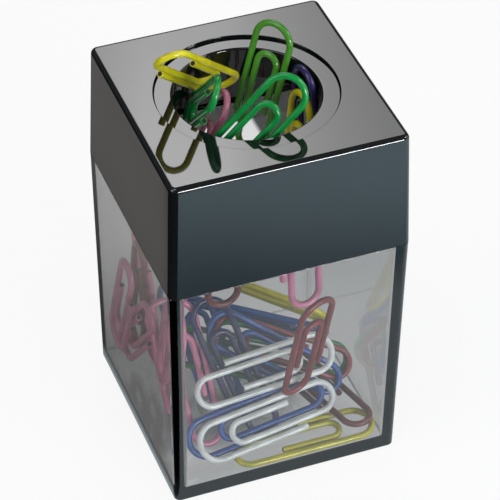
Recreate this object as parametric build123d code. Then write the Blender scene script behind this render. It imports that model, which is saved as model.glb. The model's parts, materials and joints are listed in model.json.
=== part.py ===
from build123d import *
import os
from dataclasses import dataclass
from math import atan2, cos, degrees, radians, sin

# Magnetic paper clip holder: a clear square tub of wire clips under a black lift-off cap.
# A ring magnet under the cap's round hole holds a few clips where fingers reach them.
# Millimetres. Origin at the middle of the tub's underside, +Z up, the front faces -Y.

# Driving dimensions: tub
TUB_BASE_WIDTH = 43.1
TUB_SHOULDER_WIDTH = 44.4
TUB_SHOULDER_HEIGHT = 49.5
TUB_WALL = 2.0
TUB_FLOOR = 2.1
TUB_CORNER = 1.2
TUB_INNER_CORNER = 0.7
TUB_FOOT_CHAMFER = 0.35
SPIGOT_HEIGHT = 5.0
SPIGOT_WALL = 0.65

# Driving dimensions: cap
CAP_OVERHANG = 0.05
CAP_TOP_WIDTH = 43.1
CAP_HEIGHT = 23.4
CAP_SKIRT = 1.15
CAP_CORNER = 1.3
CAP_TOP_ROUND = 0.9
LEDGE_THICKNESS = 1.0
FLANGE_RECESS = 0.55

# Driving dimensions: hole sleeve and ring magnet
BORE_RADIUS = 12.95
SLEEVE_WALL = 1.1
FLANGE_RADIUS = 16.1
FLANGE_THICKNESS = 1.0
BORE_LIP_ROUND = 0.35
BEAD_REACH = 0.5
BEAD_HEIGHT = 0.6
MAGNET_EDGE_ROOM = 2.0
MAGNET_THICKNESS = 3.5
MAGNET_CHAMFER = 0.3

# Driving dimensions: paper clip
CLIP_LENGTH = 28.2
CLIP_WIDTH = 8.2
CLIP_WIRE = 1.2
CLIP_LEG_SPACING = 1.55
CLIP_LONG_FREE_LEG = 21.1
CLIP_SHORT_FREE_LEG = 18.9
CLIP_INNER_BEND_INSET = 7.0

# Named clearances
SEAT_GAP = 0.05
SPIGOT_GAP = 0.1
RADIAL_GAP = 0.1
WIRE_GAP = 0.15
WALL_GAP = 0.15
STACK_GAP = 0.3

# The cap's lower edge lines up with the tub's shoulder
CAP_LOWER_WIDTH = TUB_SHOULDER_WIDTH + 2 * CAP_OVERHANG

# Heights that follow from the driving dimensions
CAP_BOTTOM = TUB_SHOULDER_HEIGHT + SEAT_GAP
CAP_TOP = CAP_BOTTOM + CAP_HEIGHT
FLANGE_TOP = CAP_TOP - FLANGE_RECESS
FLANGE_BOTTOM = FLANGE_TOP - FLANGE_THICKNESS
LEDGE_TOP = FLANGE_BOTTOM - SEAT_GAP
PLATE_UNDERSIDE = LEDGE_TOP - LEDGE_THICKNESS
MAGNET_TOP = PLATE_UNDERSIDE - SEAT_GAP
MAGNET_BOTTOM = MAGNET_TOP - MAGNET_THICKNESS
BEAD_TOP = MAGNET_BOTTOM - SEAT_GAP
SLEEVE_BOTTOM = BEAD_TOP - BEAD_HEIGHT
SPIGOT_TOP = TUB_SHOULDER_HEIGHT + SPIGOT_HEIGHT

# Radii that follow from the driving dimensions
SLEEVE_RADIUS = BORE_RADIUS + SLEEVE_WALL
LEDGE_RADIUS = SLEEVE_RADIUS + RADIAL_GAP
COUNTERBORE_RADIUS = FLANGE_RADIUS + RADIAL_GAP
MAGNET_BORE_RADIUS = SLEEVE_RADIUS + RADIAL_GAP

# Wire stacks: neighbouring clips lie one wire and one gap apart
WIRE_PITCH = CLIP_WIRE + WIRE_GAP


def between(z: float, z0: float, value0: float, z1: float, value1: float) -> float:
    """Value at height z on the straight line through two known heights."""
    return value0 + (value1 - value0) * (z - z0) / (z1 - z0)


def tub_half(z: float) -> float:
    """Half the tub's outside width at height z."""
    return between(z, 0, TUB_BASE_WIDTH / 2, TUB_SHOULDER_HEIGHT, TUB_SHOULDER_WIDTH / 2)


def cap_half(z: float) -> float:
    """Half the cap's outside width at height z."""
    return between(z, CAP_BOTTOM, CAP_LOWER_WIDTH / 2, CAP_TOP, CAP_TOP_WIDTH / 2)


def spigot_half(z: float) -> float:
    """Half the outside width of the rim that plugs into the cap, which tapers with the skirt."""
    return cap_half(z) - CAP_SKIRT - SPIGOT_GAP


# Half the width of the tub's mouth, at the top of the rim
MOUTH_HALF = min(tub_half(TUB_SHOULDER_HEIGHT) - TUB_WALL, spigot_half(SPIGOT_TOP) - SPIGOT_WALL)

# The magnet stays inside the mouth, so clips that hang from it clear the rim
MAGNET_RADIUS = MOUTH_HALF - MAGNET_EDGE_ROOM


def inner_half(z: float) -> float:
    """Half the inside width of the tub at height z."""
    return between(z, TUB_FLOOR, tub_half(TUB_FLOOR) - TUB_WALL, SPIGOT_TOP, MOUTH_HALF)


def wall_half(top: float) -> float:
    """Least half width inside the tub from its floor up to a height."""
    return min(inner_half(TUB_FLOOR), inner_half(top))


def square_frustum(z0: float, half0: float, z1: float, half1: float, corner: float) -> Part:
    """Drafted square block with rounded upright edges between two heights."""
    lower = Plane.XY.offset(z0) * Rectangle(2 * half0, 2 * half0)
    upper = Plane.XY.offset(z1) * Rectangle(2 * half1, 2 * half1)
    block = loft([lower, upper])
    level_edges = block.edges().group_by(Axis.Z)
    return fillet(level_edges[1], corner)


def clear_body() -> Part:
    """Square tub with drafted walls, a flat floor and a thin rim that plugs into the cap."""
    shell = square_frustum(0, tub_half(0), TUB_SHOULDER_HEIGHT, tub_half(TUB_SHOULDER_HEIGHT), TUB_CORNER)
    foot_edges = shell.faces().sort_by(Axis.Z)[0].edges()
    shell = chamfer(foot_edges, TUB_FOOT_CHAMFER)
    root = TUB_SHOULDER_HEIGHT - TUB_WALL
    shell += square_frustum(root, spigot_half(root), SPIGOT_TOP, spigot_half(SPIGOT_TOP), TUB_CORNER)
    above = SPIGOT_TOP + TUB_WALL
    return shell - square_frustum(
        TUB_FLOOR, inner_half(TUB_FLOOR), above, inner_half(above), TUB_INNER_CORNER
    )


def cap() -> Part:
    """Drafted cap: skirt, thick top plate, stepped round hole for the sleeve's flange."""
    block = square_frustum(CAP_BOTTOM, cap_half(CAP_BOTTOM), CAP_TOP, cap_half(CAP_TOP), CAP_CORNER)
    top_edges = block.faces().sort_by(Axis.Z)[-1].edges()
    block = fillet(top_edges, CAP_TOP_ROUND)
    below = CAP_BOTTOM - CAP_SKIRT
    block -= square_frustum(
        below, cap_half(below) - CAP_SKIRT,
        PLATE_UNDERSIDE, cap_half(PLATE_UNDERSIDE) - CAP_SKIRT, TUB_CORNER,
    )
    depth = CAP_TOP - PLATE_UNDERSIDE
    hole = Pos(0, 0, PLATE_UNDERSIDE + depth / 2) * Cylinder(LEDGE_RADIUS, 2 * depth)
    step = Pos(0, 0, LEDGE_TOP + depth / 2) * Cylinder(COUNTERBORE_RADIUS, depth)
    return block - hole - step


def hole_sleeve() -> Part:
    """Liner of the clip hole: a flange in the cap's recess, a tube and a bead under the magnet."""
    outline = Polyline(
        (BORE_RADIUS, SLEEVE_BOTTOM),
        (SLEEVE_RADIUS, SLEEVE_BOTTOM),
        (SLEEVE_RADIUS + BEAD_REACH, SLEEVE_BOTTOM + BEAD_HEIGHT / 2),
        (SLEEVE_RADIUS, BEAD_TOP),
        (SLEEVE_RADIUS, FLANGE_BOTTOM),
        (FLANGE_RADIUS, FLANGE_BOTTOM),
        (FLANGE_RADIUS, FLANGE_TOP),
        (BORE_RADIUS, FLANGE_TOP),
        close=True,
    )
    liner = revolve(Plane.XZ * make_face(outline), Axis.Z)
    lip = liner.edges().filter_by(GeomType.CIRCLE).group_by(Axis.Z)[-1].sort_by(SortBy.RADIUS)[0]
    return fillet(lip, BORE_LIP_ROUND)


def ring_magnet() -> Part:
    """Flat ferrite ring round the sleeve, under the cap's top plate."""
    middle = (MAGNET_TOP + MAGNET_BOTTOM) / 2
    ring = Cylinder(MAGNET_RADIUS, MAGNET_THICKNESS) - Cylinder(MAGNET_BORE_RADIUS, 2 * MAGNET_THICKNESS)
    return Pos(0, 0, middle) * chamfer(ring.edges().filter_by(GeomType.CIRCLE), MAGNET_CHAMFER)


def paper_clip() -> Part:
    """One wire clip lying in the XY plane, middle at the origin, its wide bend towards -X."""
    wide = (CLIP_WIDTH - CLIP_WIRE) / 2
    right = wide - CLIP_LEG_SPACING / 2
    inner = wide - CLIP_LEG_SPACING
    left_x = -CLIP_LENGTH / 2 + CLIP_WIRE / 2 + wide
    right_x = CLIP_LENGTH / 2 - CLIP_WIRE / 2 - right
    inner_x = -CLIP_LENGTH / 2 + CLIP_INNER_BEND_INSET + inner
    long_end = -CLIP_LENGTH / 2 + CLIP_LONG_FREE_LEG
    short_end = -CLIP_LENGTH / 2 + CLIP_SHORT_FREE_LEG
    inner_low = -wide + CLIP_LEG_SPACING
    inner_mid = inner_low + inner
    wire_line = Wire([
        Edge.make_line((long_end, -wide), (left_x, -wide)),
        Edge.make_three_point_arc((left_x, -wide), (left_x - wide, 0), (left_x, wide)),
        Edge.make_line((left_x, wide), (right_x, wide)),
        Edge.make_three_point_arc((right_x, wide), (right_x + right, wide - right), (right_x, inner_low)),
        Edge.make_line((right_x, inner_low), (inner_x, inner_low)),
        Edge.make_three_point_arc(
            (inner_x, inner_low), (inner_x - inner, inner_mid), (inner_x, inner_low + 2 * inner)
        ),
        Edge.make_line((inner_x, inner_low + 2 * inner), (short_end, inner_low + 2 * inner)),
    ])
    section = Plane(origin=(long_end, -wide, 0), z_dir=(-1, 0, 0)) * Circle(CLIP_WIRE / 2)
    return sweep(section, path=wire_line)


@dataclass(frozen=True)
class Stack:
    """Leaning pile of clips that lie in parallel layers.

    foot is where the pile's lowest line is, facing turns its face from the front towards the left,
    lean is 0 for upright clips and 90 for clips that lie flat.
    """

    foot: Vector
    facing: float
    lean: float

    def place(self, layer: float, along: float, up: float, turn: float) -> Plane:
        """Plane of a clip: its layer, its middle along and up the face, its turn in the face."""
        face = radians(self.facing)
        lean = radians(self.lean)
        spin = radians(turn)
        outward = Vector(-sin(face) * cos(lean), -cos(face) * cos(lean), sin(lean))
        across = Vector(cos(face), -sin(face), 0)
        upward = outward.cross(across)
        middle = self.foot + across * along + upward * up + outward * (layer * WIRE_PITCH)
        return Plane(origin=middle, x_dir=across * cos(spin) + upward * sin(spin), z_dir=outward)

    def over(self, layer: float, x: float, y: float) -> Vector:
        """Point of a layer of a pile that faces the front, over a place on the floor."""
        lean = radians(self.lean)
        depth = layer * WIRE_PITCH
        return Vector(x, y, self.foot.Z + (depth + (y - self.foot.Y) * cos(lean)) / sin(lean))


def aimed(middle: Vector, heading: float, rise: float, roll: float) -> Plane:
    """Plane of a single clip whose narrow end points along a heading and a rise, rolled about that."""
    turn = radians(heading)
    lift = radians(rise)
    spin = radians(roll)
    along = Vector(cos(turn) * cos(lift), sin(turn) * cos(lift), sin(lift))
    level = Vector(-sin(turn), cos(turn), 0)
    across = level * cos(spin) + along.cross(level) * sin(spin)
    return Plane(origin=middle, x_dir=along, z_dir=along.cross(across))


def round_the_hole(radius: float, bearing: float, height: float) -> Vector:
    """Point at a radius and bearing about the hole's axis."""
    return Vector(radius * cos(radians(bearing)), radius * sin(radians(bearing)), height)


def held_clips() -> dict[str, Plane]:
    """Clips that the magnet holds, at the bore's wall, under the magnet or beside it."""
    rim = FLANGE_TOP
    under = MAGNET_BOTTOM - WIRE_GAP - CLIP_LENGTH / 2
    hang_radius = inner_half(under - CLIP_LENGTH / 2) - 2.3
    beside = PLATE_UNDERSIDE - WALL_GAP - CLIP_LENGTH / 2
    return {
        "clip_held_yellow_tall": aimed(round_the_hole(BORE_RADIUS - 3.7, 149, rim + 3.1), 218, 42, 42),
        "clip_held_green_left": aimed(round_the_hole(BORE_RADIUS - 4.45, 178.5, rim - 1.0), 266, 45, 67),
        "clip_held_pink": aimed(round_the_hole(BORE_RADIUS - 3.1, 145, rim - 16.1), 184, -61, 14),
        "clip_held_light_green": aimed(round_the_hole(BORE_RADIUS - 2.75, 55.5, rim - 6.3), 170, -78, -46),
        "clip_held_green_front": aimed(round_the_hole(BORE_RADIUS - 3.3, 249.3, rim - 1.6), 169, -50, -66),
        "clip_held_purple": aimed(round_the_hole(BORE_RADIUS - 1.1, 6.5, rim - 12.6), 342, -87, -25),
        "clip_held_yellow_right": aimed(round_the_hole(BORE_RADIUS - 4.0, 355, rim - 16.3), 194, -84.5, 9),
        "clip_hanging_pink": aimed(round_the_hole(hang_radius, 279, under), 278, -84, 0),
        "clip_hanging_brown": aimed(round_the_hole(MAGNET_RADIUS + 2.8, 235, beside), 270, -89, 0),
    }


def loose_clips() -> dict[str, Plane]:
    """Clips of the heap in the tub: a slope that faces the front, a floor layer, a left wall stack."""
    half = inner_half(TUB_FLOOR)
    high_half = wall_half(TUB_FLOOR + 1.5 * CLIP_LENGTH)
    slope = Stack(Vector(0, -half + 2.3, TUB_FLOOR + 1.3), 0, 40)
    floor = Stack(Vector(0, 0, TUB_FLOOR + CLIP_WIRE / 2 + SEAT_GAP), 0, 90)
    wall_lean = degrees(atan2(half - MOUTH_HALF, SPIGOT_TOP - TUB_FLOOR))
    left = Stack(Vector(-half + CLIP_WIRE / 2 + STACK_GAP, 0, TUB_FLOOR + 0.7), 90, wall_lean)
    crest = Stack(slope.over(-7.9, 6.6, high_half - 11.0), 230, 34)
    ridge = Stack(slope.over(-8.9, 5.6, high_half - 12.7), 217, 36)
    right_end = half - WALL_GAP - CLIP_LENGTH / 2
    front_side = half - WALL_GAP - CLIP_WIDTH / 2
    left_lean = Vector(-high_half + 1.95, -high_half + 8.6, TUB_FLOOR + 26.4)
    front_lean = Vector(6.0, -half + 4.5, TUB_FLOOR + 23.0)
    return {
        "clip_white_lower": slope.place(0, -1.2, 5.4, 7),
        "clip_white_upper": slope.place(0, 0.4, 14.8, 184),
        "clip_blue_lower": slope.place(-1, -2.8, 6.4, 7),
        "clip_purple_slope": slope.place(-2, -4.4, 16.4, -78),
        "clip_pink_slope": slope.place(-3, -half + 7.0, 17.2, -90),
        "clip_blue_slope": slope.place(-3, half - 15.6, 16.6, -40),
        "clip_red_right": slope.place(-4, half - 13.6, 17.0, -30),
        "clip_green_upper": slope.place(-5, half - 13.9, 17.0, -25),
        "clip_green_lower": slope.place(-6, -0.6, 17.4, -24),
        "clip_blue_left": slope.place(-7, -7.0, 20.6, -84),
        "clip_yellow_floor": floor.place(0, right_end, -front_side, 180),
        "clip_brown_right": floor.place(1, high_half - 7.2, -half + 15.4, -74),
        "clip_yellow_crest": crest.place(0, 0, 1.0, 0),
        "clip_blue_ridge": ridge.place(0, 1.0, 1.0, 8),
        "clip_pink_left": left.place(0, -high_half + 9.6, 18.5, 68),
        "clip_pink_middle": left.place(-1, -half + 13.6, 15.0, 50),
        "clip_brown_back": left.place(-3, -high_half + 7.1, 17.6, 78),
        "clip_pink_back": left.place(-4, -high_half + 8.0, 17.8, 104),
        "clip_pink_corner": aimed(left_lean, 80, -66, 90),
        "clip_red_standing": aimed(front_lean, 100, -76, -8),
    }


def main() -> None:
    """Write one STEP file for each piece."""
    os.makedirs("parts", exist_ok=True)
    pieces = {
        "clear_body": clear_body(),
        "cap": cap(),
        "hole_sleeve": hole_sleeve(),
        "ring_magnet": ring_magnet(),
    }
    clip = paper_clip()
    for name, plane in {**held_clips(), **loose_clips()}.items():
        pieces[name] = plane.location * clip
    for name, shape in pieces.items():
        export_step(shape, f"parts/{name}.step")


main()
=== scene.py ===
import json
import logging
import math
from dataclasses import dataclass, field
from enum import Enum
from typing import Sequence

import bpy
import numpy as np
from mathutils import Matrix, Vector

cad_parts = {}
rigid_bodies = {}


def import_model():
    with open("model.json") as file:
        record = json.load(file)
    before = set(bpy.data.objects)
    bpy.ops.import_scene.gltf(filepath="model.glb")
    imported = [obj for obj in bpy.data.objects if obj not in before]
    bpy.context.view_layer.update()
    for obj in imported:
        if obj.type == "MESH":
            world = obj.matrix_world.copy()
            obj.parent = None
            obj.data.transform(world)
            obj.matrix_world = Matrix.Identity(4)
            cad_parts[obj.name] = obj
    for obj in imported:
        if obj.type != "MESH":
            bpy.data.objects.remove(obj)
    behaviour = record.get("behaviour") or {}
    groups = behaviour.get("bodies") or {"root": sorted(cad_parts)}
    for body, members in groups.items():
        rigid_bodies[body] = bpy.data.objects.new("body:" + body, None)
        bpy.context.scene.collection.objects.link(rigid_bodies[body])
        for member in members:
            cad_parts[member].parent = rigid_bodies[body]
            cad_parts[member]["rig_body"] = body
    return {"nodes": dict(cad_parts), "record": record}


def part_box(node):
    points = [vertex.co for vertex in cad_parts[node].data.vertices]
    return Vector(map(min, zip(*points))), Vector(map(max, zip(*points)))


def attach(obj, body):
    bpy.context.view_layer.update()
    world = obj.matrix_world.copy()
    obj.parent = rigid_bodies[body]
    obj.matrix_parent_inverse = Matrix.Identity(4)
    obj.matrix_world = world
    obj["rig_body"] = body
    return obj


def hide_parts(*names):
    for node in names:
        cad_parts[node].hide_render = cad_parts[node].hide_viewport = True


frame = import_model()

LOG = logging.getLogger("clip_holder")
MM = 0.001
GUARD = 0.02          # mm from a rounded edge to the row that keeps the flat beside it flat
ROUND_STEPS = 6       # facets across one rounded edge
CORNER_STEPS = 8      # facets round one upright corner
SIDE_STEPS = 31       # columns along one flat side
SIDE_INSET = 0.001    # share of a flat side between its end columns and the corner arcs
LEAST_CORNER = 0.05   # mm, least radius of an upright corner
COLUMNS = 4 * (CORNER_STEPS + 1 + SIDE_STEPS)
SQUARE = np.array([(-1, -1), (1, -1), (1, 1), (-1, 1)])
UP = (0.0, 0.0, 1.0)
PURE_WHITE = (1.0, 1.0, 1.0)
Pair = tuple[float, float]
Triple = tuple[float, float, float]
Colour = Sequence[float] | bpy.types.NodeSocket


class Value:
    """A number that a shader node gives, with operators that add Math nodes."""

    def __init__(self, recipe: "Recipe", socket: bpy.types.NodeSocket) -> None:
        """Keep the recipe that owns the socket."""
        self.recipe = recipe
        self.socket = socket

    def _math(self, operation: str, first: "float | Value", second: "float | Value") -> "Value":
        """One Math node on two values."""
        node = self.recipe.node("ShaderNodeMath", {"operation": operation}, {0: first, 1: second})
        return Value(self.recipe, node.outputs[0])

    def __add__(self, other: "float | Value") -> "Value":
        """Sum."""
        return self._math("ADD", self, other)

    __radd__ = __add__

    def __sub__(self, other: "float | Value") -> "Value":
        """Difference."""
        return self._math("SUBTRACT", self, other)

    def __rsub__(self, other: float) -> "Value":
        """Difference from a plain number."""
        return self._math("SUBTRACT", other, self)

    def __mul__(self, other: "float | Value") -> "Value":
        """Product."""
        return self._math("MULTIPLY", self, other)

    __rmul__ = __mul__

    def __neg__(self) -> "Value":
        """The value with its sign turned."""
        return self._math("MULTIPLY", self, -1.0)

    def clamped(self) -> "Value":
        """Kept between 0 and 1."""
        node = self.recipe.node("ShaderNodeClamp", {}, {"Value": self})
        return Value(self.recipe, node.outputs[0])

    def step(self, low: float, high: float) -> "Value":
        """Smooth step: 0 up to low, 1 from high on."""
        node = self.recipe.node(
            "ShaderNodeMapRange", {"interpolation_type": "SMOOTHSTEP"},
            {"Value": self, "From Min": low, "From Max": high},
        )
        return Value(self.recipe, node.outputs[0])

    def between(self, first: "float | Value", second: "float | Value") -> "Value":
        """The first value where this one is 0, the second where it is 1."""
        return first + self * (second - first)


class Recipe:
    """A node tree under construction, for a material or for the world."""

    def __init__(self, owner: bpy.types.ID) -> None:
        """Switch the owner's node tree on and empty it."""
        owner.use_nodes = True
        self.owner = owner
        self.tree = owner.node_tree
        self.tree.nodes.clear()

    def node(self, kind: str, settings: dict, sockets: dict) -> bpy.types.Node:
        """Add any node.

        Args:
            kind: Blender's name of the node type.
            settings: the node's own settings, or "stops" for a colour ramp, set first.
            sockets: input name or index to a number, a colour, a Value or an output socket.

        Returns:
            The new node.
        """
        node = self.tree.nodes.new(kind)
        for name, value in settings.items():
            if name == "stops":
                self._set_stops(node.color_ramp, value)
            else:
                setattr(node, name, value)
        for name, value in sockets.items():
            if isinstance(value, Value):
                self.tree.links.new(value.socket, node.inputs[name])
            elif isinstance(value, bpy.types.NodeSocket):
                self.tree.links.new(value, node.inputs[name])
            else:
                node.inputs[name].default_value = value
        return node

    @staticmethod
    def _set_stops(ramp: bpy.types.ColorRamp, stops: Sequence[tuple[float, Triple]]) -> None:
        """Give a colour ramp its stops.

        Args:
            ramp: the ramp of a new node.
            stops: a place from 0 to 1 and a colour each.
        """
        while len(ramp.elements) < len(stops):
            ramp.elements.new(1.0)
        for element, (place, colour) in zip(ramp.elements, stops):
            element.position = place
            element.color = (*colour, 1.0)

    def place(self, scale: Triple = (1.0, 1.0, 1.0)) -> bpy.types.NodeSocket:
        """Object coordinates in metres.

        Args:
            scale: stretch along each axis.

        Returns:
            The coordinates' socket.
        """
        coordinates = self.node("ShaderNodeTexCoord", {}, {})
        mapping = self.node(
            "ShaderNodeMapping", {}, {"Vector": coordinates.outputs["Object"], "Scale": scale}
        )
        return mapping.outputs[0]

    def ray(self, kind: str) -> Value:
        """1 on rays of a kind, as the Light Path node names it, and 0 on the others."""
        return Value(self, self.node("ShaderNodeLightPath", {}, {}).outputs[kind])

    def noise(self, size: float, stretch: Triple = (1.0, 1.0, 1.0), detail: float = 2) -> Value:
        """Noise from 0 to 1.

        Args:
            size: how wide its blotches are, about, in mm.
            stretch: scale along each axis, under 1 to draw the blotches out.
            detail: how many finer layers it has.

        Returns:
            The noise's value.
        """
        node = self.node(
            "ShaderNodeTexNoise", {},
            {"Vector": self.place(stretch), "Scale": 1 / (size * MM), "Detail": detail},
        )
        return Value(self, node.outputs["Fac"])

    def mix(self, share: Value, first: Colour, second: Colour) -> bpy.types.NodeSocket:
        """Colour between two.

        Args:
            share: 0 for the first colour, 1 for the second.
            first: a colour or an output socket.
            second: a colour or an output socket.

        Returns:
            The mixed colour's socket.
        """
        ends = [end if isinstance(end, bpy.types.NodeSocket) else (*end, 1.0) for end in (first, second)]
        node = self.node("ShaderNodeMix", {"data_type": "RGBA"}, {0: share, 6: ends[0], 7: ends[1]})
        return node.outputs[2]

    def drift(self, share: Value, colour: Sequence[float], spread: Pair) -> bpy.types.NodeSocket:
        """Colour that drifts between two shades of itself.

        Args:
            share: 0 for the first shade, 1 for the second.
            colour: the colour at factor 1.
            spread: the factor of each shade.

        Returns:
            The drifting colour's socket.
        """
        first, second = (tuple(min(1.0, channel * factor) for channel in colour) for factor in spread)
        return self.mix(share, first, second)

    def bump(self, height: Value, depth: float, strength: float) -> bpy.types.NodeSocket:
        """Bent normal from a height from 0 to 1 that stands for depth mm."""
        node = self.node(
            "ShaderNodeBump", {}, {"Strength": strength, "Distance": depth * MM, "Height": height}
        )
        return node.outputs[0]

    def blend(self, share: Value, first: bpy.types.Node, second: bpy.types.Node) -> bpy.types.Node:
        """Mix Shader node between the shaders of two nodes, by a share from 0 to 1."""
        return self.node("ShaderNodeMixShader", {}, {0: share, 1: first.outputs[0], 2: second.outputs[0]})

    def finished(self, shader: bpy.types.Node, volume: bpy.types.Node | None = None) -> bpy.types.ID:
        """Join a shader to the output.

        Args:
            shader: node of the surface.
            volume: node of the inside, if there is one.

        Returns:
            The material or world that the recipe is for.
        """
        is_world = isinstance(self.owner, bpy.types.World)
        sockets = {"Surface": shader.outputs[0]}
        if volume is not None:
            sockets["Volume"] = volume.outputs[0]
        self.node("ShaderNodeOutputWorld" if is_world else "ShaderNodeOutputMaterial", {}, sockets)
        return self.owner


def new_recipe(name: str) -> Recipe:
    """Recipe of a new material."""
    return Recipe(bpy.data.materials.new(name))


@dataclass(frozen=True)
class GlossBlack:
    """Polished black plastic with faint haze, hairlines along the moulding and a soft orange peel.

    Sizes and depths are in mm. Each band gives the noise levels between which an effect sets in.
    """

    name: str = "black_gloss_plastic"
    colour: Triple = (0.0055, 0.0062, 0.0070)
    spread: Pair = (0.85, 1.25)
    index: float = 1.55
    polish: float = 0.035
    haze_size: float = 14.0
    haze_band: Pair = (0.3, 0.7)
    haze_rough: float = 0.03
    haze_rough_band: Pair = (0.35, 0.75)
    hair_size: float = 0.35
    hair_stretch: Triple = (0.012, 0.012, 1.0)
    hair_rough: float = 0.03
    hair_rough_band: Pair = (0.6, 0.75)
    peel_size: float = 3.5
    peel_depth: float = 0.01
    peel_strength: float = 0.15

    def material(self) -> bpy.types.Material:
        """Build the material.

        Returns:
            The new material.
        """
        recipe = new_recipe(self.name)
        haze = recipe.noise(self.haze_size, detail=3)
        hairs = recipe.noise(self.hair_size, self.hair_stretch, 1)
        peel = recipe.noise(self.peel_size, detail=1)
        hazy = self.haze_rough * haze.step(*self.haze_rough_band)
        combed = self.hair_rough * hairs.step(*self.hair_rough_band)
        return recipe.finished(recipe.node("ShaderNodeBsdfPrincipled", {}, {
            "Base Color": recipe.drift(haze.step(*self.haze_band), self.colour, self.spread),
            "Roughness": self.polish + hazy + combed,
            "IOR": self.index,
            "Normal": recipe.bump(peel, self.peel_depth, self.peel_strength),
        }))


@dataclass(frozen=True)
class ClearSmoke:
    """Clear plastic with a light smoke tint: bends light, darkens it by the millimetre, lets lamps through.

    Sizes and depths are in mm. density is the absorption per metre.
    """

    name: str = "clear_smoke_plastic"
    index: float = 1.57
    tint: Triple = (0.10, 0.12, 0.13)
    density: float = 110.0
    pass_on: Triple = (0.95, 0.95, 0.95)
    polish: float = 0.004
    smear_size: float = 9.0
    smear_rough: float = 0.02
    smear_band: Pair = (0.45, 0.8)
    scuff_size: float = 0.5
    scuff_stretch: Triple = (1.0, 1.0, 0.05)
    scuff_depth: float = 0.004
    scuff_strength: float = 0.05

    def material(self) -> bpy.types.Material:
        """Build the material: glass to the eye, plain tinted film to lamps and to matt surfaces.

        Returns:
            The new material.
        """
        recipe = new_recipe(self.name)
        smear = recipe.noise(self.smear_size, detail=3)
        scuff = recipe.noise(self.scuff_size, self.scuff_stretch, 2)
        film = recipe.node("ShaderNodeBsdfTransparent", {}, {"Color": (*self.pass_on, 1.0)})
        glass = recipe.node("ShaderNodeBsdfPrincipled", {}, {
            "Base Color": (*PURE_WHITE, 1.0),
            "Roughness": self.polish + self.smear_rough * smear.step(*self.smear_band),
            "IOR": self.index,
            "Transmission Weight": 1.0,
            "Normal": recipe.bump(scuff, self.scuff_depth, self.scuff_strength),
        })
        smoke = recipe.node("ShaderNodeVolumeAbsorption", {}, {
            "Color": (*self.tint, 1.0), "Density": self.density,
        })
        bounced = recipe.blend(recipe.ray("Is Diffuse Ray"), glass, film)
        return recipe.finished(recipe.blend(recipe.ray("Is Shadow Ray"), bounced, film), smoke)


@dataclass(frozen=True)
class Ferrite:
    """Ground ceramic magnet: dark grey, matt, with a fine grain. Sizes and depths in mm."""

    name: str = "ferrite"
    colour: Triple = (0.055, 0.055, 0.060)
    spread: Pair = (0.7, 1.4)
    roughness: float = 0.5
    grain_size: float = 0.3
    grain_rough: float = 0.2
    grain_depth: float = 0.03
    grain_strength: float = 0.3

    def material(self) -> bpy.types.Material:
        """Build the material.

        Returns:
            The new material.
        """
        recipe = new_recipe(self.name)
        grain = recipe.noise(self.grain_size, detail=3)
        return recipe.finished(recipe.node("ShaderNodeBsdfPrincipled", {}, {
            "Base Color": recipe.drift(grain, self.colour, self.spread),
            "Roughness": self.roughness + self.grain_rough * grain,
            "Normal": recipe.bump(grain, self.grain_depth, self.grain_strength),
        }))


class WireColour(Enum):
    """Colours of the clips' vinyl coat."""

    WHITE = (0.82, 0.82, 0.80)
    YELLOW = (0.62, 0.54, 0.010)
    GREEN = (0.003, 0.235, 0.042)
    LIGHT_GREEN = (0.070, 0.27, 0.026)
    PINK = (0.73, 0.24, 0.38)
    RED = (0.25, 0.024, 0.028)
    BLUE = (0.014, 0.070, 0.32)
    PURPLE = (0.024, 0.015, 0.085)
    BROWN = (0.17, 0.032, 0.026)

    @property
    def slot(self) -> str:
        """The record's slot of this colour."""
        return "vinyl_" + self.name.lower()


@dataclass(frozen=True)
class Vinyl:
    """Smooth vinyl coat on wire: slight sheen, soft colour drift, tiny dimples. Sizes and depths in mm."""

    colour: WireColour
    spread: Pair = (0.84, 1.10)
    index: float = 1.5
    polish: float = 0.15
    drift_size: float = 4.0
    drift_band: Pair = (0.3, 0.7)
    drift_rough: float = 0.11
    dimple_size: float = 0.45
    dimple_rough: float = 0.06
    dimple_depth: float = 0.02
    dimple_strength: float = 0.25

    def material(self) -> bpy.types.Material:
        """Build the material.

        Returns:
            The new material.
        """
        recipe = new_recipe(self.colour.slot)
        drift = recipe.noise(self.drift_size)
        dimple = recipe.noise(self.dimple_size)
        return recipe.finished(recipe.node("ShaderNodeBsdfPrincipled", {}, {
            "Base Color": recipe.drift(drift.step(*self.drift_band), self.colour.value, self.spread),
            "Roughness": self.polish + self.drift_rough * drift + self.dimple_rough * dimple,
            "IOR": self.index,
            "Normal": recipe.bump(dimple, self.dimple_depth, self.dimple_strength),
        }))


@dataclass(frozen=True)
class CutSteel:
    """Bare wire core at a clip's cut ends, torn a little by the shears. Sizes and depths in mm."""

    name: str = "cut_steel"
    colour: Triple = (0.045, 0.043, 0.041)
    spread: Pair = (0.6, 1.0)
    roughness: float = 0.45
    shear_size: float = 0.25
    shear_rough: float = 0.25
    shear_depth: float = 0.03
    shear_strength: float = 0.4

    def material(self) -> bpy.types.Material:
        """Build the material.

        Returns:
            The new material.
        """
        recipe = new_recipe(self.name)
        shear = recipe.noise(self.shear_size)
        return recipe.finished(recipe.node("ShaderNodeBsdfPrincipled", {}, {
            "Base Color": recipe.drift(shear, self.colour, self.spread),
            "Metallic": 1.0,
            "Roughness": self.roughness + self.shear_rough * shear,
            "Normal": recipe.bump(shear, self.shear_depth, self.shear_strength),
        }))


@dataclass(frozen=True)
class Bend:
    """Corner of an upright profile, in mm.

    reach is the half width or radius, core is how far the upright edge's centre lies from the middle
    planes, and rounding is the radius of the corner itself.
    """

    reach: float
    height: float
    core: float = 0.0
    rounding: float = 0.0


def unit(vector: np.ndarray) -> np.ndarray:
    """The vector at length 1."""
    return vector / np.linalg.norm(vector)


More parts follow.
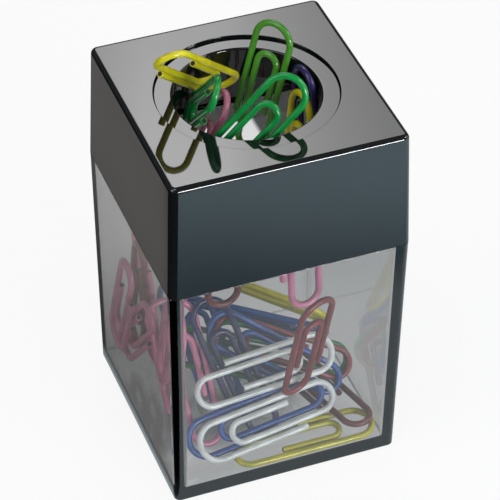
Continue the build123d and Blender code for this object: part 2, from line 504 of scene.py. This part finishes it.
def rounded_profile(bends: Sequence[Bend], closed: bool) -> np.ndarray:
    """Profile with its corners rounded: an arc tangent to both sides, and a guard point past each end.

    Args:
        bends: the corners in order.
        closed: whether the last corner joins the first.

    Returns:
        Points as rows of reach, height and core.
    """
    corners = np.array([(bend.reach, bend.height, bend.core) for bend in bends])
    stretches = []
    for i, bend in enumerate(bends):
        here = corners[i, :2]
        if bend.rounding == 0 or (not closed and i in (0, len(bends) - 1)):
            stretches.append(corners[i:i + 1])
            continue
        back = unit(corners[i - 1, :2] - here)
        ahead = unit(corners[(i + 1) % len(bends), :2] - here)
        half = math.acos(np.clip(back @ ahead, -1, 1)) / 2
        run = bend.rounding / math.tan(half)
        centre = here + unit(back + ahead) * bend.rounding / math.sin(half)
        start = here + back * run - centre
        end = here + ahead * run - centre
        sweep = (math.pi - 2 * half) * np.sign(start[0] * end[1] - start[1] * end[0])
        turn = np.linspace(0, sweep, ROUND_STEPS + 1)
        arc = centre + np.stack([
            start[0] * np.cos(turn) - start[1] * np.sin(turn),
            start[0] * np.sin(turn) + start[1] * np.cos(turn),
        ], axis=1)
        points = np.vstack([here + back * (run + GUARD), arc, here + ahead * (run + GUARD)])
        stretches.append(np.column_stack([points, np.full(len(points), bend.core)]))
    return np.vstack(stretches)


def square_rows(profile: np.ndarray) -> np.ndarray:
    """Rows of a rounded square: quarter arcs about four core points, joined by straight sides.

    Args:
        profile: rows of reach, height and core.

    Returns:
        Points as an array of rows by columns by 3, in mm.
    """
    reach, height = profile[:, 0], profile[:, 1]
    corner = np.maximum(reach - profile[:, 2], LEAST_CORNER)
    core = reach - corner
    quarter = np.arange(4)[:, None] * np.pi / 2
    angle = quarter + np.linspace(0, np.pi / 2, CORNER_STEPS + 1)
    diagonal = quarter[:, 0] + np.pi / 4
    signs = np.stack([np.sign(np.cos(diagonal)), np.sign(np.sin(diagonal))], axis=1)
    arcs = core[:, None, None, None] * signs[None, :, None, :]
    arcs = arcs + corner[:, None, None, None] * np.stack([np.cos(angle), np.sin(angle)], axis=2)[None]
    share = np.linspace(0, 1, SIDE_STEPS)
    share[0], share[-1] = SIDE_INSET, 1 - SIDE_INSET
    begin, end = arcs[:, :, -1:, :], np.roll(arcs, -1, axis=1)[:, :, :1, :]
    sides = begin + (end - begin) * share[None, None, :, None]
    flat = np.concatenate([arcs, sides], axis=2).reshape(len(profile), COLUMNS, 2)
    return np.dstack([flat, np.broadcast_to(height[:, None], flat.shape[:2])])


def round_rows(profile: np.ndarray) -> np.ndarray:
    """Rows of circles whose columns line up with those of a rounded square.

    Args:
        profile: rows of radius, height and core, which circles don't use.

    Returns:
        Points as an array of rows by columns by 3, in mm.
    """
    turn = np.pi / 4 + (np.arange(COLUMNS) - CORNER_STEPS / 2) * 2 * np.pi / COLUMNS
    ring = np.stack([np.cos(turn), np.sin(turn)], axis=1)
    flat = profile[:, 0, None, None] * ring[None]
    return np.dstack([flat, np.broadcast_to(profile[:, 1, None], flat.shape[:2])])


def grid_faces(rows: int, columns: int, ring: bool) -> np.ndarray:
    """Four-sided faces of a grid that closes round its columns.

    Args:
        rows: number of rows of points.
        columns: number of points in a row.
        ring: whether the last row joins the first.

    Returns:
        Point numbers, four to a face.
    """
    row = np.arange(rows if ring else rows - 1)[:, None]
    column = np.arange(columns)[None, :]
    here, after = row * columns, (row + 1) % rows * columns
    beside = (column + 1) % columns
    corners = [here + column, here + beside, after + beside, after + column]
    return np.stack(corners, axis=2).reshape(-1, 4)


def enclosed_volume(points: np.ndarray, quads: np.ndarray) -> float:
    """Signed volume inside four-sided faces, by tetrahedra from the origin.

    Args:
        points: the points, one to a row.
        quads: point numbers, four to a face.

    Returns:
        The volume, below 0 if the faces look inwards.
    """
    a, b, c, d = (points[quads[:, k]] for k in range(4))
    halves = np.einsum("ij,ij->i", a, np.cross(b, c)) + np.einsum("ij,ij->i", a, np.cross(c, d))
    return float(halves.sum() / 6)


def linked(name: str, data: bpy.types.ID) -> bpy.types.Object:
    """New object in the scene.

    Args:
        name: the object's name.
        data: its mesh, lamp or camera.

    Returns:
        The new object.
    """
    piece = bpy.data.objects.new(name, data)
    bpy.context.scene.collection.objects.link(piece)
    return piece


def sheet(name: str, corners: np.ndarray) -> bpy.types.Object:
    """Flat four-sided sheet.

    Args:
        name: the sheet's name.
        corners: its corners in order, in mm.

    Returns:
        The new object.
    """
    mesh = bpy.data.meshes.new(name)
    mesh.from_pydata((corners * MM).tolist(), [], [(0, 1, 2, 3)])
    return linked(name, mesh)


def pose(across: np.ndarray, above: np.ndarray, back: np.ndarray, place: np.ndarray) -> Matrix:
    """Placing matrix of a lamp or camera.

    Args:
        across: unit vector to its right.
        above: unit vector up.
        back: unit vector away from what it faces.
        place: its middle, in mm.

    Returns:
        The matrix, in metres.
    """
    matrix = np.eye(4)
    matrix[:3] = np.column_stack([across, above, back, place * MM])
    return Matrix(matrix.tolist())


def shell(name: str, rows: np.ndarray, ring: bool) -> bpy.types.Object:
    """Smooth closed mesh from rows of points.

    Args:
        name: the piece's name.
        rows: points as rows by columns by 3, in mm.
        ring: True if the last row joins the first, False if each end closes on a middle point.

    Returns:
        The new object.
    """
    count, columns = rows.shape[:2]
    points = rows.reshape(-1, 3)
    quads = grid_faces(count, columns, ring)
    fans = np.zeros((0, 3), int)
    if not ring:
        first, last = len(points), len(points) + 1
        points = np.vstack([points, rows[0].mean(axis=0), rows[-1].mean(axis=0)])
        column = np.arange(columns)
        beside = (column + 1) % columns
        top = (count - 1) * columns
        fans = np.vstack([
            np.stack([np.full(columns, first), beside, column], axis=1),
            np.stack([np.full(columns, last), top + column, top + beside], axis=1),
        ])
    if enclosed_volume(points, quads) < 0:
        quads, fans = quads[:, ::-1], fans[:, ::-1]
    mesh = bpy.data.meshes.new(name)
    mesh.from_pydata((points * MM).tolist(), [], quads.tolist() + fans.tolist())
    mesh.polygons.foreach_set("use_smooth", np.ones(len(mesh.polygons), bool))
    mesh.update()
    return linked(name, mesh)


def stand_in(piece: bpy.types.Object, node: str) -> None:
    """Let a piece stand for a node of the frame, on the same body.

    Args:
        piece: the dressed piece.
        node: name of the node it replaces.
    """
    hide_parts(node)
    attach(piece, frame["nodes"][node]["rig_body"])
    LOG.info("%s stands for %s, %d faces", piece.name, node, len(piece.data.polygons))


@dataclass
class Tub:
    """Clear square tub. Lengths in mm."""

    wall: float = 2.0
    floor: float = 2.1
    corner: float = 1.2
    inner_corner: float = 0.7
    base_half: float = 21.55
    inner_draft: float = 0.03
    shoulder_half: float = 22.2
    shoulder_height: float = 49.5
    rim_half: float = 20.85
    rim_root_half: float = 21.0
    mouth_half: float = 20.2
    foot_round: float = 0.35
    edge_round: float = 0.15
    floor_round: float = 0.45
    patch_half: float = 2.0
    patch_core: float = 1.0
    finish: ClearSmoke = field(default_factory=ClearSmoke)

    def rows(self) -> np.ndarray:
        """Rows from a patch under the floor, up the outside, over the rim, down to a patch on the floor.

        Returns:
            Points as an array of rows by columns by 3, in mm.
        """
        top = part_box("clear_body")[1][2] / MM
        inner_half = self.base_half - self.wall + self.inner_draft
        outside = [
            Bend(half, height, half - self.corner, rounding) for half, height, rounding in (
                (self.base_half, 0.0, self.foot_round),
                (self.shoulder_half, self.shoulder_height, self.edge_round),
                (self.rim_root_half, self.shoulder_height, self.edge_round),
                (self.rim_half, top, self.edge_round),
            )
        ]
        inside = [
            Bend(self.mouth_half, top, self.mouth_half - self.inner_corner, self.edge_round),
            Bend(inner_half, self.floor, inner_half - self.inner_corner, self.floor_round),
        ]
        under, over = (Bend(self.patch_half, height, self.patch_core) for height in (0.0, self.floor))
        return square_rows(rounded_profile([under, *outside, *inside, over], closed=False))

    def build(self) -> None:
        """Make the tub and dress it."""
        piece = shell("tub_shell", self.rows(), ring=False)
        piece.data.materials.append(self.finish.material())
        stand_in(piece, "clear_body")


@dataclass
class Cap:
    """Black cap with a stepped round hole. Lengths in mm.

    On both faces of the top plate the square rows end at a gap from the hole, where round rows go on.
    """

    skirt: float = 1.15
    corner: float = 1.3
    inner_corner: float = 1.2
    top_half: float = 21.55
    top_round: float = 0.9
    edge_round: float = 0.12
    step_radius: float = 16.2
    step_depth: float = 1.6
    ledge_radius: float = 14.15
    plate: float = 2.6
    under_gap: float = 4.5
    top_gap: float = 3.0
    round_gap: float = 1.0
    gap_corner: float = 0.5
    finish: GlossBlack = field(default_factory=GlossBlack)

    def rows(self) -> np.ndarray:
        """Rows round the skirt and top plate: square outside and under the plate, round in the hole.

        Returns:
            Points as an array of rows by columns by 3, in mm.
        """
        low, high = (np.array(corner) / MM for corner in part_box("cap"))
        bottom, top, lower_half = low[2], high[2], high[0]
        under, ledge = top - self.plate, top - self.step_depth
        lean = (lower_half - self.top_half) / (top - bottom)
        under_half = self.top_half + lean * self.plate - self.skirt
        lower_inner = lower_half - self.skirt
        under_end, top_end = self.ledge_radius + self.under_gap, self.step_radius + self.top_gap
        square = [
            Bend(half, height, half - corner, rounding) for half, height, corner, rounding in (
                (under_end, under, self.gap_corner, 0.0),
                (under_half, under, self.inner_corner, self.edge_round),
                (lower_inner, bottom, self.inner_corner, self.edge_round),
                (lower_half, bottom, self.corner, self.edge_round),
                (self.top_half, top, self.corner, self.top_round),
                (top_end, top, self.gap_corner, 0.0),
            )
        ]
        hole = [
            Bend(radius, height, rounding=self.edge_round) for radius, height in (
                (self.step_radius + self.round_gap, top),
                (self.step_radius, top),
                (self.step_radius, ledge),
                (self.ledge_radius, ledge),
                (self.ledge_radius, under),
                (self.ledge_radius + self.round_gap, under),
            )
        ]
        return np.concatenate([
            square_rows(rounded_profile(square, closed=False)),
            round_rows(rounded_profile(hole, closed=False)),
        ])

    def build(self, black: bpy.types.Material) -> None:
        """Make the cap and dress it.

        Args:
            black: the plastic that it shares with the sleeve.
        """
        piece = shell("cap_shell", self.rows(), ring=True)
        piece.data.materials.append(black)
        stand_in(piece, "cap")


@dataclass
class Sleeve:
    """Liner of the hole: flange, tube and bead. Lengths in mm."""

    bore: float = 12.95
    wall: float = 1.1
    flange_radius: float = 16.1
    flange: float = 1.0
    bead_reach: float = 0.5
    bead_height: float = 0.6
    lip_round: float = 0.35
    edge_round: float = 0.12

    def build(self, black: bpy.types.Material) -> None:
        """Carry the liner's profile round the hole's axis and dress it.

        Args:
            black: the plastic that it shares with the cap.
        """
        low, high = (np.array(corner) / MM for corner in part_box("hole_sleeve"))
        bottom, top = low[2], high[2]
        outer = self.bore + self.wall
        lip = Bend(self.bore, top, rounding=self.lip_round)
        others = [
            Bend(radius, height, rounding=self.edge_round) for radius, height in (
                (self.bore, bottom),
                (outer, bottom),
                (outer + self.bead_reach, bottom + self.bead_height / 2),
                (outer, bottom + self.bead_height),
                (outer, top - self.flange),
                (self.flange_radius, top - self.flange),
                (self.flange_radius, top),
            )
        ]
        profile = rounded_profile([lip, *others], closed=True)
        piece = shell("sleeve_liner", round_rows(profile), ring=True)
        piece.data.materials.append(black)
        stand_in(piece, "hole_sleeve")


@dataclass
class Magnet:
    """Flat ferrite ring. Lengths in mm."""

    bore: float = 14.15
    edge_round: float = 0.3
    finish: Ferrite = field(default_factory=Ferrite)

    def build(self) -> None:
        """Carry the ring's section round the hole's axis and dress it."""
        low, high = (np.array(corner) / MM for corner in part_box("ring_magnet"))
        corners = [(self.bore, high[2]), (self.bore, low[2]), (high[0], low[2]), (high[0], high[2])]
        section = rounded_profile([
            Bend(radius, height, rounding=self.edge_round) for radius, height in corners
        ], closed=True)
        piece = shell("magnet_ring", round_rows(section), ring=True)
        piece.data.materials.append(self.finish.material())
        stand_in(piece, "ring_magnet")


@dataclass
class ClipWire:
    """The bent wire of one paper clip, lying flat about its middle. Lengths in mm."""

    length: float = 28.2
    width: float = 8.2
    wire: float = 1.2
    spacing: float = 1.55
    long_leg: float = 21.1
    short_leg: float = 18.9
    inner_inset: float = 7.0
    core_radius: float = 0.43
    core_middle: float = 0.02
    end_round: float = 0.14
    end_steps: int = 4
    facets: int = 20
    bend_steps: int = 22
    leg_steps: int = 12

    def centre_line(self) -> np.ndarray:
        """Straight legs joined by half circles, from the long free end to the short one.

        Returns:
            Points as rows of x and y, in mm.
        """
        wide = (self.width - self.wire) / 2
        right = wide - self.spacing / 2
        inner = wide - self.spacing
        left_x = -self.length / 2 + self.wire / 2 + wide
        right_x = self.length / 2 - self.wire / 2 - right
        inner_x = -self.length / 2 + self.inner_inset + inner
        inner_low = self.spacing - wide
        inner_high = inner_low + 2 * inner
        legs = [
            ((-self.length / 2 + self.long_leg, -wide), (left_x, -wide)),
            ((left_x, wide), (right_x, wide)),
            ((right_x, inner_low), (inner_x, inner_low)),
            ((inner_x, inner_high), (-self.length / 2 + self.short_leg, inner_high)),
        ]
        bends = [
            ((left_x, 0.0), wide, -1.0),
            ((right_x, wide - right), right, 1.0),
            ((inner_x, inner_low + inner), inner, -1.0),
        ]
        share = np.linspace(0, 1, self.leg_steps + 1)[:, None]
        turn = np.linspace(-np.pi / 2, np.pi / 2, self.bend_steps + 1)[1:-1]
        half_circle = np.stack([np.cos(turn), -np.sin(turn)], axis=1)
        straights = [np.array(begin) * (1 - share) + np.array(end) * share for begin, end in legs]
        arcs = [np.array(middle) + side * radius * half_circle for middle, radius, side in bends]
        stretches = straights[:1]
        for arc, straight in zip(arcs, straights[1:]):
            stretches += [arc, straight]
        return np.vstack(stretches)

    def tube(self) -> np.ndarray:
        """Circles square to the centre line, with rounded cut ends and a bare core inside each.

        Returns:
            Points as an array of rows by columns by 3, in mm.
        """
        line = self.centre_line()
        ahead = np.gradient(line, axis=0)
        ahead = ahead / np.linalg.norm(ahead, axis=1, keepdims=True)
        radius = self.wire / 2
        lip = np.linspace(0, np.pi / 2, self.end_steps)
        back = np.concatenate([[0.0, 0.0], self.end_round * (1 - np.cos(lip))])
        size = np.concatenate([
            [self.core_middle, self.core_radius], radius - self.end_round * (1 - np.sin(lip)),
        ])
        start = line[0] + ahead[0] * back[:, None]
        finish = line[-1] - ahead[-1] * back[::-1, None]
        spine = np.vstack([start, line[1:-1], finish])
        along = np.repeat(ahead, [len(back), *[1] * (len(line) - 2), len(back)], axis=0)
        sizes = np.concatenate([size, np.full(len(line) - 2, radius), size[::-1]])
        turn = np.linspace(0, 2 * np.pi, self.facets, endpoint=False)
        side = np.stack([-along[:, 1], along[:, 0]], axis=1)
        flat = spine[:, None, :] + sizes[:, None, None] * np.cos(turn)[None, :, None] * side[:, None, :]
        return np.dstack([flat, sizes[:, None] * np.sin(turn)[None, :]])


def carried(rows: np.ndarray, turn: np.ndarray, shift: np.ndarray) -> np.ndarray:
    """Points turned by a 3 by 3 matrix and shifted."""
    return rows @ turn.T + shift


def node_points(node: str) -> np.ndarray:
    """Vertices of one of the frame's nodes.

    Args:
        node: the node's name.

    Returns:
        The points in mm, one to a row.
    """
    mesh = frame["nodes"][node].data
    flat = np.empty(3 * len(mesh.vertices))
    mesh.vertices.foreach_get("co", flat)
    return flat.reshape(-1, 3) / MM


def rigid_motion(source: np.ndarray, target: np.ndarray) -> tuple[np.ndarray, np.ndarray, float]:
    """Turn and shift that carry source points onto target points, by least squares.

    Args:
        source: points in order.
        target: the same points, moved.

    Returns:
        The 3 by 3 turn, the shift, and the largest distance left over.
    """
    source_mid, target_mid = source.mean(axis=0), target.mean(axis=0)
    left, _, right = np.linalg.svd((source - source_mid).T @ (target - target_mid))
    keep = np.diag([1.0, 1.0, np.sign(np.linalg.det(left @ right))])
    turn = (left @ keep @ right).T
    shift = target_mid - turn @ source_mid
    left_over = np.linalg.norm(carried(source, turn, shift) - target, axis=1).max()
    return turn, shift, float(left_over)


@dataclass
class Clips:
    """All the paper clips, each placed as its node is."""

    shape: ClipWire = field(default_factory=ClipWire)
    flat_node: str = "clip_yellow_floor"

    def flat_pose(self) -> tuple[np.ndarray, np.ndarray]:
        """Pose of the clip that lies flat on the floor, its wide bend towards +X."""
        low, high = (np.array(corner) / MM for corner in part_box(self.flat_node))
        return np.diag([-1.0, -1.0, 1.0]), (low + high) / 2

    def build(self) -> None:
        """Make every clip in its colour, carried from the flat clip's place to its own."""
        materials = {colour.slot: Vinyl(colour).material() for colour in WireColour}
        steel = CutSteel().material()
        flat_rows = carried(self.shape.tube(), *self.flat_pose())
        flat_points = node_points(self.flat_node)
        for entry in frame["record"]["subparts"]:
            node, slot = entry["node"], entry["material_slot"]
            if slot not in materials:
                continue
            turn, shift, left_over = rigid_motion(flat_points, node_points(node))
            piece = shell(node.replace("clip_", "wire_"), carried(flat_rows, turn, shift), ring=False)
            piece.data.materials.append(materials[slot])
            piece.data.materials.append(steel)
            self.mark_cores(piece, len(flat_rows))
            stand_in(piece, node)
            LOG.info("%s left over %.4f mm", node, left_over)

    def mark_cores(self, piece: bpy.types.Object, count: int) -> None:
        """Give the bare core's faces, at both ends of the tube, the steel.

        Args:
            piece: the clip, with the steel as its second material.
            count: number of the tube's rows.
        """
        facets = self.shape.facets
        index = np.zeros(len(piece.data.polygons), np.int32)
        index[:facets] = 1
        index[(count - 2) * facets:] = 1
        piece.data.polygons.foreach_set("material_index", index)


@dataclass(frozen=True)
class FloorPaper:
    """Pale floor that keeps the shadow, is lifted to white where it is seen, and shows painted reflections
    to gloss rays and painted light and shade to rays through the tub's windows.

    Places and bands are in metres from the part's middle, to the right or to the back. Each band gives
    the two places between which one zone of the floor gives way to the next.
    """

    name: str = "floor_paper"
    colour: Triple = (0.92, 0.92, 0.91)
    lift: float = 0.87
    corner: float = 0.022
    sight_slope: float = 2.94
    # Painted reflection for gloss rays: the mirror_ colours with the far_, close_, back_, left_ and corner_
    # bands give a painted shadow in front, painted light farther out, grey at the back and painted dark
    # zones at the left and at the upright corner.
    mirror_close: Triple = (0.80, 0.92, 0.98)
    mirror_near: Triple = (0.25, 0.40, 0.48)
    mirror_far: Triple = (1.05, 1.42, 1.62)
    mirror_back: Triple = (0.30, 0.29, 0.275)
    mirror_left: Triple = (0.10, 0.10, 0.10)
    mirror_corner: Triple = (0.01, 0.01, 0.01)
    far_lean: float = 0.35
    far_pivot: float = 0.03
    far_band: Pair = (0.065, 0.118)
    close_band: Pair = (0.058, 0.074)
    back_band: Pair = (0.0, 0.05)
    left_band: Pair = (0.026, 0.050)
    left_edge: Pair = (-0.0228, -0.0216)
    corner_band: Pair = (0.0015, 0.006)
    # Painted light and shade for rays through the clear tub: front_level and the heap_ fields give a
    # painted shadow under the heap, the side_ fields a painted darker zone behind the left window, the
    # hole_ fields painted bright and dark zones behind the cap's hole.
    front_level: float = 0.56
    heap_shade: float = 0.82
    heap_middle: Pair = (-0.006, 0.005)
    heap_reach: Pair = (0.017, 0.016)
    heap_band: Pair = (0.35, 1.5)
    side_near: float = 0.24
    side_far: float = 0.66
    side_band: Pair = (0.012, 0.058)
    side_edge: Pair = (0.0395, 0.0445)
    hole_bright: float = 0.92
    hole_dark: float = 0.05
    hole_split: Pair = (0.0312, 0.0326)
    hole_back: Pair = (0.060, 0.066)
    hole_left: Pair = (0.012, 0.018)

    def painted_reflection_tint(self, recipe: Recipe, aside: Value, depth: Value) -> bpy.types.NodeSocket:
        """Painted reflection that gloss faces mirror: a painted shadow in front, painted light farther out,
        grey at the back, painted dark zones at the left and at the upright corner.

        Args:
            recipe: the material under construction.
            aside: place to the right.
            depth: place to the back.

        Returns:
            The colour's socket.
        """
        outward = self.far_lean * (aside - self.far_pivot) - depth
        ahead = recipe.mix(outward.step(*self.far_band), self.mirror_near, self.mirror_far)
        near = recipe.mix((-depth).step(*self.close_band), self.mirror_close, ahead)
        right = recipe.mix(depth.step(*self.back_band), near, self.mirror_back)
        left = recipe.mix((-aside).step(*self.left_band), self.mirror_left, self.mirror_back)
        sides = recipe.mix(aside.step(*self.left_edge), left, right)
        past = aside + self.corner + (depth + self.corner) * (1 / self.sight_slope)
        return recipe.mix((-past).step(*self.corner_band), sides, self.mirror_corner)

    def painted_through_shade(self, aside: Value, depth: Value) -> Value:
        """Painted light and shade behind the front window with a painted shadow under its heap, behind the
        left window, and behind the cap's hole.

        Args:
            aside: place to the right.
            depth: place to the back.

        Returns:
            The brightness.
        """
        across = (aside - self.heap_middle[0]) * (1 / self.heap_reach[0])
        along = (depth - self.heap_middle[1]) * (1 / self.heap_reach[1])
        heap = 1.0 - (across * across + along * along).step(*self.heap_band)
        front = self.front_level * (1.0 - self.heap_shade * heap)
        side = depth.step(*self.side_band).between(self.side_near, self.side_far)
        windows = (depth - self.sight_slope * aside).step(*self.side_edge).between(front, side)
        hole = aside.step(*self.hole_split).between(self.hole_bright, self.hole_dark)
        return (depth.step(*self.hole_back) * aside.step(*self.hole_left)).between(windows, hole)

    def material(self) -> bpy.types.Material:
        """Build the material: matt paper to the lamps, white to the camera, painted reflection zones to
        gloss rays and painted light and shade to rays through the windows.

        Returns:
            The new material.
        """
        recipe = new_recipe(self.name)
        axes = recipe.node("ShaderNodeSeparateXYZ", {}, {0: recipe.place()})
        aside, depth = (Value(recipe, axes.outputs[axis]) for axis in "XY")
        passed = recipe.ray("Is Transmission Ray")
        seen = self.lift * recipe.ray("Is Camera Ray") + passed
        bounced = recipe.ray("Is Glossy Ray") * (1.0 - passed)
        paper = recipe.node("ShaderNodeBsdfDiffuse", {}, {"Color": (*self.colour, 1.0)})
        # To rays through the tub the white emission carries the painted light and shade instead of the lit
        # paper.
        white = recipe.node("ShaderNodeEmission", {}, {
            "Strength": passed.between(1.0, self.painted_through_shade(aside, depth)),
        })
        # Gloss rays see the painted reflection zones instead of the lit paper.
        mirrored = recipe.node("ShaderNodeEmission", {}, {
            "Color": self.painted_reflection_tint(recipe, aside, depth), "Strength": 1.0,
        })
        lifted = recipe.blend(seen.clamped(), paper, white)
        return recipe.finished(recipe.blend(bounced, lifted, mirrored))


@dataclass(frozen=True)
class Room:
    """Dim even room light, stronger in mirrors, pale to the camera and through the clear tub."""

    level: float = 0.09
    mirror_level: float = 0.15
    colour: Triple = (0.95, 0.98, 1.0)

    def build(self) -> None:
        """Make the world."""
        world = bpy.data.worlds.new("studio")
        bpy.context.scene.world = world
        recipe = Recipe(world)
        seen = recipe.ray("Is Camera Ray") + recipe.ray("Is Transmission Ray")
        room = recipe.node("ShaderNodeBackground", {}, {
            "Color": (*self.colour, 1.0),
            "Strength": recipe.ray("Is Glossy Ray").between(self.level, self.mirror_level),
        })
        pale = recipe.node("ShaderNodeBackground", {}, {"Strength": 1.0})
        recipe.finished(recipe.blend(seen.clamped(), room, pale))


@dataclass(frozen=True)
class BackPanel:
    """Soft box behind and above, mirrored in the cap's top. Lengths in mm, level as radiance.

    sweep gives its brightness from left to right, foot and rise its brightness upwards, and hide the
    share that is lost through the clear tub.
    """

    distance: float = 520.0
    direction: Triple = (0.272, 0.716, 0.643)
    size: Pair = (330.0, 150.0)
    level: float = 6.1
    foot: float = 0.68
    rise: float = 0.62
    hide: float = 0.7
    sweep: tuple[Pair, ...] = (
        (0.20, 0.70), (0.33, 0.80), (0.39, 1.0), (0.48, 0.97),
        (0.51, 0.82), (0.60, 0.60), (0.66, 0.47), (0.80, 0.38),
    )

    def material(self) -> bpy.types.Material:
        """Build the material, along the panel's own coordinates.

        Returns:
            The new material.
        """
        recipe = new_recipe("soft_box")
        places = recipe.node("ShaderNodeUVMap", {"uv_map": "sweep"}, {})
        axes = recipe.node("ShaderNodeSeparateXYZ", {}, {0: places.outputs[0]})
        stops = [(place, (share,) * 3) for place, share in self.sweep]
        tint = recipe.node("ShaderNodeValToRGB", {"stops": stops}, {0: axes.outputs["X"]})
        upwards = self.level * (self.foot + self.rise * Value(recipe, axes.outputs["Y"]))
        shown = 1.0 - self.hide * recipe.ray("Is Transmission Ray")
        return recipe.finished(recipe.node("ShaderNodeEmission", {}, {
            "Color": tint.outputs[0], "Strength": upwards * shown,
        }))

    def build(self, aim: np.ndarray) -> None:
        """Hang the panel.

        Args:
            aim: the point that it faces, in mm.
        """
        back = unit(np.array(self.direction))
        across = unit(np.cross(UP, back)) * -self.size[0] / 2
        above = unit(np.cross(across, back)) * self.size[1] / 2
        corners = aim + back * self.distance + SQUARE @ np.array([across, above])
        piece = sheet("back_panel", corners)
        layer = piece.data.uv_layers.new(name="sweep")
        layer.data.foreach_set("uv", ((SQUARE + 1) / 2).astype(np.float32).ravel())
        piece.data.materials.append(self.material())


@dataclass(frozen=True)
class Lamp:
    """Rectangular area lamp. Lengths in mm, offset from the point that it faces, level as radiance.

    lights says whether matt surfaces take its light, and mirrored whether gloss ones show it.
    """

    name: str
    offset: Triple
    size: Pair
    level: float
    colour: Triple = PURE_WHITE
    lights: bool = True
    mirrored: bool = True

    def build(self, aim: np.ndarray) -> None:
        """Hang the lamp.

        Args:
            aim: the point that it faces, in mm.
        """
        lamp = bpy.data.lights.new(self.name, "AREA")
        lamp.shape = "RECTANGLE"
        lamp.size, lamp.size_y = (length * MM for length in self.size)
        lamp.energy = self.level * math.pi * lamp.size * lamp.size_y
        lamp.color = self.colour
        piece = linked(self.name, lamp)
        back = unit(np.array(self.offset))
        across = unit(np.cross(UP, back))
        piece.matrix_world = pose(across, np.cross(back, across), back, aim + np.array(self.offset))
        piece.visible_diffuse, piece.visible_glossy = self.lights, self.mirrored


LAMPS = (
    Lamp("front_strip", (190.0, -600.0, 150.0), (620.0, 230.0), 8.5, (0.86, 0.97, 1.0), mirrored=False),
    Lamp("left_fill", (-620.0, -120.0, 420.0), (420.0, 420.0), 3.2),
    Lamp("right_fill", (640.0, -160.0, 300.0), (420.0, 420.0), 2.0),
    Lamp("top_box", (-160.0, -60.0, 640.0), (300.0, 300.0), 3.4),
    Lamp("edge_card", (175.0, -620.0, 60.0), (150.0, 64.0), 75.0, lights=False),
    Lamp("glint_card", (400.0, -290.0, 410.0), (90.0, 90.0), 42.0, lights=False),
)


@dataclass(frozen=True)
class PhotoCamera:
    """Camera at the photograph's place. Lengths in mm, angles in degrees."""

    focal: float = 190.70
    sensor: float = 36.0
    azimuth: float = -21.07
    elevation: float = 40.54
    roll: float = 0.46
    place: Triple = (-130.29, -340.22, 348.37)
    clip: Pair = (10.0, 20000.0)

    def build(self) -> None:
        """Set the camera up: right and up vectors from azimuth, elevation and roll."""
        turn, lift, roll = np.radians([self.azimuth, self.elevation, self.roll])
        back = np.array([np.sin(turn) * np.cos(lift), -np.cos(turn) * np.cos(lift), np.sin(lift)])
        level = np.array([np.cos(turn), np.sin(turn), 0.0])
        above = np.cross(back, level)
        lens = bpy.data.cameras.new("camera")
        lens.lens, lens.sensor_width = self.focal, self.sensor
        lens.clip_start, lens.clip_end = (limit * MM for limit in self.clip)
        piece = linked("camera", lens)
        piece.matrix_world = pose(
            level * np.cos(roll) + above * np.sin(roll),
            above * np.cos(roll) - level * np.sin(roll),
            back, np.array(self.place),
        )
        bpy.context.scene.camera = piece


@dataclass
class Studio:
    """Camera, floor, room light and lamps. Lengths in mm."""

    floor_size: float = 6000.0
    floor_drop: float = 0.05
    paper: FloorPaper = field(default_factory=FloorPaper)

    def floor(self) -> None:
        """Lay the floor a hair under the foot."""
        corners = np.column_stack([SQUARE * self.floor_size / 2, np.full(len(SQUARE), -self.floor_drop)])
        piece = sheet("floor", corners)
        piece.data.materials.append(self.paper.material())

    def build(self) -> None:
        """Set the stage, with the panel and the lamps aimed at the middle of the cap's top."""
        bpy.context.scene.view_settings.view_transform = "Standard"
        PhotoCamera().build()
        self.floor()
        Room().build()
        aim = np.array([0.0, 0.0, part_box("cap")[1][2] / MM])
        for light in (BackPanel(), *LAMPS):
            light.build(aim)


def main() -> None:
    """Build the studio and every piece."""
    logging.basicConfig(level=logging.INFO, format="%(message)s")
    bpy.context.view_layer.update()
    Studio().build()
    black = GlossBlack().material()
    Tub().build()
    Cap().build(black)
    Sleeve().build(black)
    Magnet().build()
    Clips().build()


if __name__ == "__main__":
    main()
